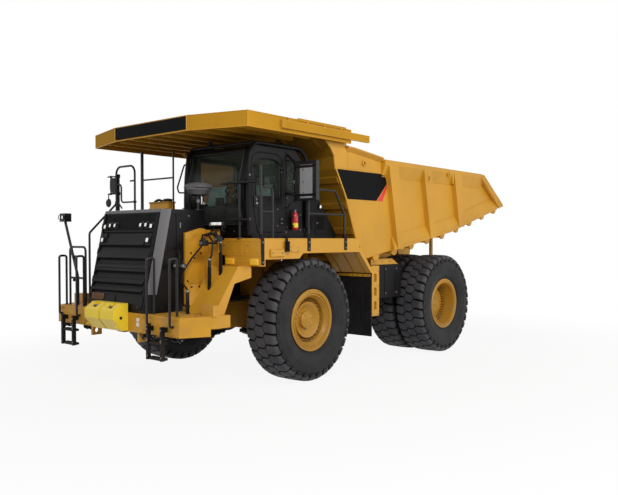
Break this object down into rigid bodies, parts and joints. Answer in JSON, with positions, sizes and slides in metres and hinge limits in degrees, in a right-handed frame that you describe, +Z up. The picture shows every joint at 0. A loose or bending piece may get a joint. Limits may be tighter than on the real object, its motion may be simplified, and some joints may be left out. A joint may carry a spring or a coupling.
{
  "type": "off-highway dump truck",
  "caption": "Rigid off-highway dump truck with canopied rock body, offset cab, leaning louvred grille and dual rear wheels.",
  "frame": {"origin": "on the ground, midway between nose and tail on the centre plane", "axes": "+X forward, +Y to the driver's left, +Z up"},
  "size_m": [10.03, 4.4616, 4.3599],
  "materials": {
    "body_paint": "gloss machine enamel, light dust",
    "guard_paint": "bright warning yellow enamel",
    "black_paint": "satin black enamel",
    "rod_chrome": "polished rod",
    "tyre_rubber": "dull black rubber",
    "hose_rubber": "satin black hose rubber",
    "flap_rubber": "matt rubber sheet",
    "window_glass": "clear tinted glass",
    "seat_fabric": "grey-green woven cloth",
    "trim_plastic": "grained plastic"
  },
  "bodies": {
    "chassis": {"main_frame": "body_paint", "front_bumper": "body_paint", "tow_block": "guard_paint", "engine_block": "black_paint", "drive_line": "body_paint", "rear_axle": "body_paint", "rear_struts": "body_paint", "strut_housings": "body_paint", "grille_shell": "black_paint", "radiator": "black_paint", "hood": "body_paint", "hood_box": "body_paint", "deck_left": "body_paint", "deck_right": "body_paint", "stair_wings": "body_paint", "hanging_steps": "black_paint", "fenders": "body_paint", "mud_flaps": "flap_rubber", "fuel_tank": "body_paint", "hydraulic_tank": "body_paint", "cab_shell": "black_paint", "cab_glass": "window_glass", "cab_base": "black_paint", "cab_rear_box": "black_paint", "seat": "seat_fabric", "console": "trim_plastic", "handrails_left": "black_paint", "handrails_right": "black_paint", "hose_lines": "hose_rubber", "mirrors": "black_paint"},
    "knuckle_left": {"knuckle_left": "body_paint"},
    "knuckle_right": {"knuckle_right": "body_paint"},
    "front_wheel_left": {"front_tyre_left": "tyre_rubber", "front_rim_left": "body_paint"},
    "front_wheel_right": {"front_tyre_right": "tyre_rubber", "front_rim_right": "body_paint"},
    "rear_wheels_left": {"rear_tyres_left": "tyre_rubber", "rear_rim_left": "body_paint"},
    "rear_wheels_right": {"rear_tyres_right": "tyre_rubber", "rear_rim_right": "body_paint"},
    "tie_rod": {"tie_rod": "body_paint"},
    "steer_barrel_left": {"steer_barrel_left": "body_paint"},
    "steer_barrel_right": {"steer_barrel_right": "body_paint"},
    "steer_rod_left": {"steer_rod_left": "rod_chrome"},
    "steer_rod_right": {"steer_rod_right": "rod_chrome"},
    "cab_door": {"cab_door": "black_paint", "door_window": "window_glass"},
    "dump_body": {"dump_side_left": "body_paint", "dump_side_right": "body_paint", "dump_floor": "body_paint", "dump_front_wall": "body_paint", "canopy": "body_paint", "rock_ejectors": "body_paint"},
    "hoist_barrel_left": {"hoist_barrel_left": "body_paint"},
    "hoist_stage_left": {"hoist_stage_left": "rod_chrome"},
    "hoist_rod_left": {"hoist_rod_left": "rod_chrome"},
    "hoist_barrel_right": {"hoist_barrel_right": "body_paint"},
    "hoist_stage_right": {"hoist_stage_right": "rod_chrome"},
    "hoist_rod_right": {"hoist_rod_right": "rod_chrome"}
  },
  "joints": [
    {"name": "steer_left", "type": "hinge", "parent": "chassis", "child": "knuckle_left", "pos_m": [2.155, 1.02, 1.032], "axis": [0, 0, 1], "range_deg": [-31, 31]},
    {"name": "steer_right", "type": "hinge", "parent": "chassis", "child": "knuckle_right", "pos_m": [2.155, -1.02, 1.032], "axis": [0, 0, 1], "range_deg": [-31, 31]},
    {"name": "tie_rod_swing", "type": "hinge", "parent": "knuckle_left", "child": "tie_rod", "pos_m": [1.705, 1.02, 0.72], "axis": [0, 0, 1], "range_deg": [-31, 31]},
    {"name": "front_spin_left", "type": "hinge", "parent": "knuckle_left", "child": "front_wheel_left", "pos_m": [2.155, 1.666, 1.032], "axis": [0, 1, 0], "continuous": true},
    {"name": "front_spin_right", "type": "hinge", "parent": "knuckle_right", "child": "front_wheel_right", "pos_m": [2.155, -1.666, 1.032], "axis": [0, 1, 0], "continuous": true},
    {"name": "rear_spin_left", "type": "hinge", "parent": "chassis", "child": "rear_wheels_left", "pos_m": [-2.06, 1.432, 1.032], "axis": [0, 1, 0], "continuous": true},
    {"name": "rear_spin_right", "type": "hinge", "parent": "chassis", "child": "rear_wheels_right", "pos_m": [-2.06, -1.432, 1.032], "axis": [0, 1, 0], "continuous": true},
    {"name": "door_swing", "type": "hinge", "parent": "chassis", "child": "cab_door", "pos_m": [2.485, 1.576, 3.2], "axis": [0, 0, 1], "range_deg": [0, 80]},
    {"name": "body_tip", "type": "hinge", "parent": "chassis", "child": "dump_body", "pos_m": [-2.695, 0, 1.72], "axis": [0, -1, 0], "range_deg": [0, 50]},
    {"name": "hoist_swing_left", "type": "hinge", "parent": "chassis", "child": "hoist_barrel_left", "pos_m": [-0.83, 0.655, 0.777], "axis": [0, -1, 0], "range_deg": [-0.5, 27]},
    {"name": "hoist_stage_left", "type": "slide", "parent": "hoist_barrel_left", "child": "hoist_stage_left", "axis": [0.1986, 0, 0.9801], "range_m": [0, 0.812]},
    {"name": "hoist_rod_left", "type": "slide", "parent": "hoist_stage_left", "child": "hoist_rod_left", "axis": [0.1986, 0, 0.9801], "range_m": [0, 0.812]},
    {"name": "steer_ram_swing_left", "type": "hinge", "parent": "chassis", "child": "steer_barrel_left", "pos_m": [2.155, 0.25, 0.72], "axis": [0, 0, 1], "range_deg": [-7, 7]},
    {"name": "steer_ram_slide_left", "type": "slide", "parent": "steer_barrel_left", "child": "steer_rod_left", "axis": [0.3328, 0.943, 0], "range_m": [-0.15, 0.15]},
    {"name": "hoist_swing_right", "type": "hinge", "parent": "chassis", "child": "hoist_barrel_right", "pos_m": [-0.83, -0.655, 0.777], "axis": [0, -1, 0], "range_deg": [-0.5, 27]},
    {"name": "hoist_stage_right", "type": "slide", "parent": "hoist_barrel_right", "child": "hoist_stage_right", "axis": [0.1986, 0, 0.9801], "range_m": [0, 0.812]},
    {"name": "hoist_rod_right", "type": "slide", "parent": "hoist_stage_right", "child": "hoist_rod_right", "axis": [0.1986, 0, 0.9801], "range_m": [0, 0.812]},
    {"name": "steer_ram_swing_right", "type": "hinge", "parent": "chassis", "child": "steer_barrel_right", "pos_m": [2.155, -0.25, 0.72], "axis": [0, 0, 1], "range_deg": [-7, 7]},
    {"name": "steer_ram_slide_right", "type": "slide", "parent": "steer_barrel_right", "child": "steer_rod_right", "axis": [0.3328, -0.943, 0], "range_m": [-0.15, 0.15]}
  ],
  "couplings": [
    {"joint": "steer_right", "follows": "steer_left", "ratio": 1},
    {"joint": "tie_rod_swing", "follows": "steer_left", "ratio": -1},
    {"joint": "hoist_swing_left", "follows": "body_tip", "ratio": 0.5284},
    {"joint": "hoist_stage_left", "follows": "body_tip", "m_per_rad": 0.9281},
    {"joint": "hoist_rod_left", "follows": "body_tip", "m_per_rad": 0.9281},
    {"joint": "steer_ram_swing_left", "follows": "steer_left", "ratio": 0.193},
    {"joint": "steer_ram_slide_left", "follows": "steer_left", "m_per_rad": 0.2529},
    {"joint": "hoist_swing_right", "follows": "body_tip", "ratio": 0.5284},
    {"joint": "hoist_stage_right", "follows": "body_tip", "m_per_rad": 0.9281},
    {"joint": "hoist_rod_right", "follows": "body_tip", "m_per_rad": 0.9281},
    {"joint": "steer_ram_swing_right", "follows": "steer_left", "ratio": 0.193},
    {"joint": "steer_ram_slide_right", "follows": "steer_left", "m_per_rad": -0.2529}
  ]
}
